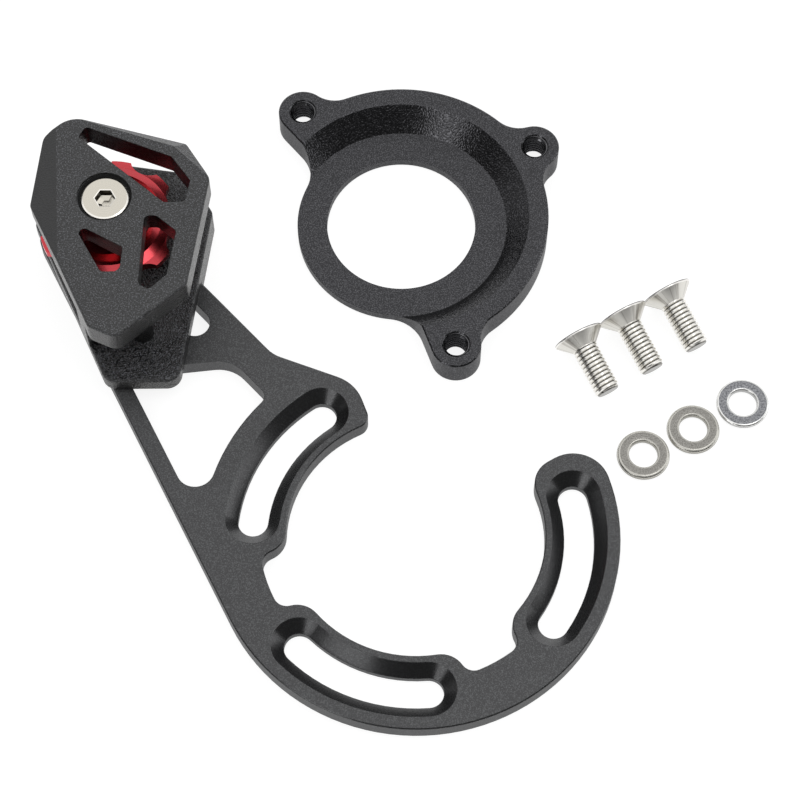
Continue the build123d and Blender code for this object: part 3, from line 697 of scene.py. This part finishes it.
# Deep walls round the cover's two closed windows, hung under its skin from the edges of the windows there
wallSize = {
    "depth": 2.7, "thickness": 1.2, "skinBottom": 22.2,
    "weldGap": 0.001, "levelGap": 0.01,      # how near points count as one, or as level
    "uprightSlope": 0.3, "crispAngle": 35,
}
cover = bmesh.new()
cover.from_mesh(nodes["outer_plate"].data)
bmesh.ops.remove_doubles(cover, verts=cover.verts, dist=wallSize["weldGap"] * mm)
skinBottom = wallSize["skinBottom"] * mm
links = {}
for edge in cover.edges:
    level = all(abs(vert.co.z - skinBottom) < wallSize["levelGap"] * mm for vert in edge.verts)
    upright = [face for face in edge.link_faces if abs(face.normal.z) < wallSize["uprightSlope"]]
    if level and len(upright) == 1 and upright[0].calc_center_median().z > skinBottom:
        for vert, other in (edge.verts, reversed(edge.verts)):
            links.setdefault(vert, []).append(other)
windowCount = 0
while links:
    start = next(iter(links))
    loop = [start]
    while True:
        onward = [vert for vert in links[loop[-1]] if vert in links and vert not in loop]
        if not onward:
            break
        loop.append(onward[0])
    closed = len(loop) > 2 and start in links[loop[-1]]
    for vert in loop:
        del links[vert]
    if not closed:
        continue
    windowCount += 1
    points = [vert.co.xy for vert in loop]
    area = sum(a.cross(b) for a, b in zip(points, points[1:] + points[:1]))
    if area < 0:
        points.reverse()
    outward = []
    for before, after in zip(points[-1:] + points[:-1], points[1:] + points[:1]):
        along = (after - before).normalized()
        outward.append(Vector((along.y, -along.x)) * wallSize["thickness"] * mm)
    low = skinBottom - wallSize["depth"] * mm
    collar = bmesh.new()
    rings = []
    for reach, z in ((0, skinBottom), (0, low), (1, low), (1, skinBottom)):
        rings.append([collar.verts.new((*(point + side * reach), z)) for point, side in zip(points, outward)])
    for first, second in zip(rings, rings[1:] + rings[:1]):
        bridgeRings(collar, first, second)
    wallPiece = newPiece(
        f"windowWall_{windowCount}", collar, coverNylon, Matrix(), "head", None)
    softenFaces(wallPiece, wallSize["crispAngle"])
cover.free()
print("window walls hung:", windowCount)

# Tapped threads in the ring's three ears, each with a plain back just behind the bore's wall
tapSize = {
    "crestRadius": 2.5, "rootRadius": 2.985, "backRadius": 3.02,
    "pitch": 1.0, "sides": 44, "endGap": 0.03, "crispAngle": 50,
}
for index in range(3):
    mount = mounts[f"ring_thread_{index + 1}"]
    x, y, _ = mount["pos_m"]
    depth = mount["dims"]["length_mm"]

    # the thread fades out at both mouths, as a 45 degree countersink leaves it
    def openEnds(radius, z):
        fromMouth = max(0.0, min(depth - z, z))
        return max(radius, tapSize["rootRadius"] - fromMouth)

    tap = bmesh.new()
    threadSheet(
        tap, cutForm, tapSize["rootRadius"], tapSize["crestRadius"], tapSize["pitch"], tapSize["endGap"],
        depth - tapSize["endGap"], openEnds, (tapSize["rootRadius"],) * 2, tapSize["sides"])
    # the two caps are the only faces with more than four corners
    for cap in [face for face in tap.faces if len(face.verts) > 4]:
        tap.faces.remove(cap)
    openEdges = [edge for edge in tap.edges if edge.is_boundary]
    back = bmesh.ops.extrude_edge_only(tap, edges=openEdges)["geom"]
    backVerts = [item for item in back if isinstance(item, bmesh.types.BMVert)]
    for vert in backVerts:
        flat = Vector((vert.co.x, vert.co.y, 0)).normalized() * tapSize["backRadius"] * mm
        vert.co.x, vert.co.y = flat.x, flat.y
    bmesh.ops.bridge_loops(tap, edges=[edge for edge in tap.edges if edge.is_boundary])
    thread = newPiece(
        f"tappedThread_{index + 1}", tap, tappedBlack, Matrix.Translation((x, y, 0)), "arm",
        None)
    softenFaces(thread, tapSize["crispAngle"])
print("ring ears tapped")

# Flat washers with the rolled edge that stamping leaves; the third lies with its sharp side up
washerSize = {
    "outer": 6.04, "inner": 3.25, "thickness": 1.6,
    "rolled": 0.9, "sharp": 0.65, "bore": 0.45,      # radii of the rounds
    "sides": 72, "topSteps": 8, "plainSteps": 3, "crispAngle": 35,
}
for index in range(3):
    topRound, lowRound = washerSize["rolled"], washerSize["sharp"]
    finish = tumbledSteel
    if index == 2:
        topRound, lowRound = lowRound, topRound
        finish = polishedSteel
    outer, inner, high, bore = (washerSize[k] for k in ("outer", "inner", "thickness", "bore"))
    plainSteps = washerSize["plainSteps"]
    outline = roundCorner((outer - topRound, high - topRound), topRound, 90, 0, washerSize["topSteps"])
    outline += roundCorner((outer - lowRound, lowRound), lowRound, 0, -90, plainSteps)
    outline += roundCorner((inner + bore, bore), bore, -90, -180, plainSteps)
    outline += roundCorner((inner + bore, high - bore), bore, 180, 90, plainSteps)
    ring = bmesh.new()
    turnedRing(ring, outline, washerSize["sides"])
    x, y, _ = mounts[f"washer_hole_{index + 1}"]["pos_m"]
    washer = newPiece(
        f"stampedWasher_{index + 1}", ring, finish, Matrix.Translation((x, y, 0)), "arm",
        f"mounting_washer_{index + 1}")
    softenFaces(washer, washerSize["crispAngle"])
print("washers stamped")

# White table under a soft roof of light, with a lamp overhead, one at the front left and one at the right.
# To the eye the table glows nearly white and shows only faint shadows, to the light it is plain white.
floorLook = {"size": 6.0, "drop": 0.00005, "colour": "#f2f2f2", "shadeShare": 0.26, "glow": 0.86}
floorMesh = bmesh.new()
bmesh.ops.create_grid(floorMesh, x_segments=1, y_segments=1, size=floorLook["size"] / 2)
floorData = bpy.data.meshes.new("tableTop")
floorMesh.to_mesh(floorData)
floorMesh.free()
floor = bpy.data.objects.new("tableTop", floorData)
floor.location.z = -floorLook["drop"]
bpy.context.scene.collection.objects.link(floor)
whiteTable, tree = newMaterial("whiteTable")
rays = addNode(tree, "ShaderNodeLightPath", {}, {})
seen = addNode(tree, "ShaderNodeMath", {"operation": "MAXIMUM"}, {
    0: rays.outputs["Is Camera Ray"], 1: rays.outputs["Is Glossy Ray"]})
seenToo = addNode(tree, "ShaderNodeMath", {"operation": "MAXIMUM"}, {
    0: seen.outputs[0], 1: rays.outputs["Is Transmission Ray"]})
plain = addNode(tree, "ShaderNodeBsdfDiffuse", {}, {"Color": linearColour(floorLook["colour"])})
shade = addNode(tree, "ShaderNodeBsdfDiffuse", {}, {"Color": [floorLook["shadeShare"]] * 3 + [1.0]})
glow = addNode(tree, "ShaderNodeEmission", {}, {"Strength": floorLook["glow"]})
white = addNode(tree, "ShaderNodeAddShader", {}, {0: shade.outputs[0], 1: glow.outputs[0]})
both = addNode(tree, "ShaderNodeMixShader", {}, {
    0: seenToo.outputs[0], 1: plain.outputs[0], 2: white.outputs[0]})
addNode(tree, "ShaderNodeOutputMaterial", {}, {"Surface": both.outputs[0]})
floorData.materials.append(whiteTable)

# light tent: levels of its dim front wall, its back wall and its roof, which leans to the back;
# the ranges are the directions over which one passes into the other
tent = {
    "front": 0.13, "back": 0.55, "top": 1.0,
    "wallRange": (-0.3, 0.5), "roofRange": (0.42, 0.62), "roofLean": 0.35,
}
world = bpy.data.worlds.new("studio")
bpy.context.scene.world = world
world.use_nodes = True
tree = world.node_tree
tree.nodes.clear()
place = addNode(tree, "ShaderNodeTexCoord", {}, {})
heading = addNode(tree, "ShaderNodeSeparateXYZ", {}, {"Vector": place.outputs["Generated"]})
wall = addNode(tree, "ShaderNodeMapRange", {"interpolation_type": "SMOOTHSTEP"}, {
    "Value": heading.outputs["Y"], "From Min": tent["wallRange"][0], "From Max": tent["wallRange"][1],
    "To Min": tent["front"], "To Max": tent["back"]})
lean = addNode(tree, "ShaderNodeMath", {"operation": "MULTIPLY_ADD"}, {
    0: heading.outputs["Y"], 1: tent["roofLean"], 2: heading.outputs["Z"]})
roof = addNode(tree, "ShaderNodeMapRange", {"interpolation_type": "SMOOTHSTEP"}, {
    "Value": lean.outputs[0], "From Min": tent["roofRange"][0], "From Max": tent["roofRange"][1]})
level = addNode(tree, "ShaderNodeMix", {"data_type": "FLOAT"}, {
    0: roof.outputs["Result"], 2: wall.outputs["Result"], 3: tent["top"]})
air = addNode(tree, "ShaderNodeBackground", {}, {"Color": (1.0, 1.0, 1.0, 1.0), "Strength": level.outputs[0]})
addNode(tree, "ShaderNodeOutputWorld", {}, {"Surface": air.outputs[0]})

# each lamp: place, point it faces, width and height, power in watts
lamps = {
    "overheadLamp": ((0.31, 0.0, 0.88), (0.0, 0.03, 0.0), (0.3, 0.3), 0.5),
    "frontLeftLamp": ((-0.494, -0.602, 0.409), (0.0, 0.03, 0.0), (0.42, 0.5), 0.93),
    "rightLamp": ((0.877, 0.09, 0.187), (0.0, 0.03, 0.0), (0.62, 0.44), 0.8),
}
for name, (spot, aim, size, power) in lamps.items():
    light = bpy.data.lights.new(name, "AREA")
    light.shape = "RECTANGLE"
    light.size, light.size_y = size
    light.energy = power
    lamp = bpy.data.objects.new(name, light)
    lamp.location = spot
    lamp.rotation_mode = "QUATERNION"
    lamp.rotation_quaternion = (Vector(aim) - Vector(spot)).to_track_quat("-Z", "Y")
    bpy.context.scene.collection.objects.link(lamp)

# millimetres and degrees, apart from the clip in metres
cameraLook = {
    "lens": 108.72, "sensor": 36.0, "clip": 0.01,
    "elevation": 64.34, "distance": 555.5, "aim": (-3.47, 34.83),
}
camera = bpy.data.objects.new("camera", bpy.data.cameras.new("camera"))
camera.data.lens = cameraLook["lens"]
camera.data.sensor_width = cameraLook["sensor"]
camera.data.clip_start = cameraLook["clip"]
tip = math.radians(cameraLook["elevation"])
camera.location = (
    cameraLook["aim"][0] * mm,
    (cameraLook["aim"][1] - cameraLook["distance"] * math.cos(tip)) * mm,
    cameraLook["distance"] * math.sin(tip) * mm,
)
camera.rotation_euler = (math.pi / 2 - tip, 0, 0)
bpy.context.scene.collection.objects.link(camera)
bpy.context.scene.camera = camera
print("table, lamps and camera placed")
